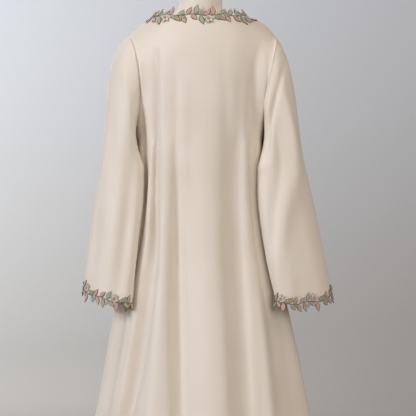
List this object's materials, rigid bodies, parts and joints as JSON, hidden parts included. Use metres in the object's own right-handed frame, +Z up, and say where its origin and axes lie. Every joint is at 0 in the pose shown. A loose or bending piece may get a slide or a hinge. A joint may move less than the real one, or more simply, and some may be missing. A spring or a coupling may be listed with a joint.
{
  "type": "abaya cloak on a dress form",
  "caption": "Long open-front abaya cloak with leaf-vine trims at the neckline and cuffs, hung on a limbless dress form with pole and round base.",
  "frame": {"origin": "middle of the underside of the stand's base", "axes": "+Z up, -Y behind the garment (its back faces -Y), +X to the right when looking at the back"},
  "size_m": [0.6876, 0.5106, 1.533],
  "materials": {
    "cloth": "soft cream crepe",
    "vine": "satin-stitch embroidery",
    "form": "linen cover",
    "stand": "brushed"
  },
  "bodies": {
    "root": {"back": "cloth", "front_left": "cloth", "front_right": "cloth", "sleeve_left": "cloth", "sleeve_right": "cloth", "vine_neck": "vine", "vine_cuff_left": "vine", "vine_cuff_right": "vine", "form_torso": "form", "form_pole": "stand", "form_base": "stand"}
  },
  "joints": []
}
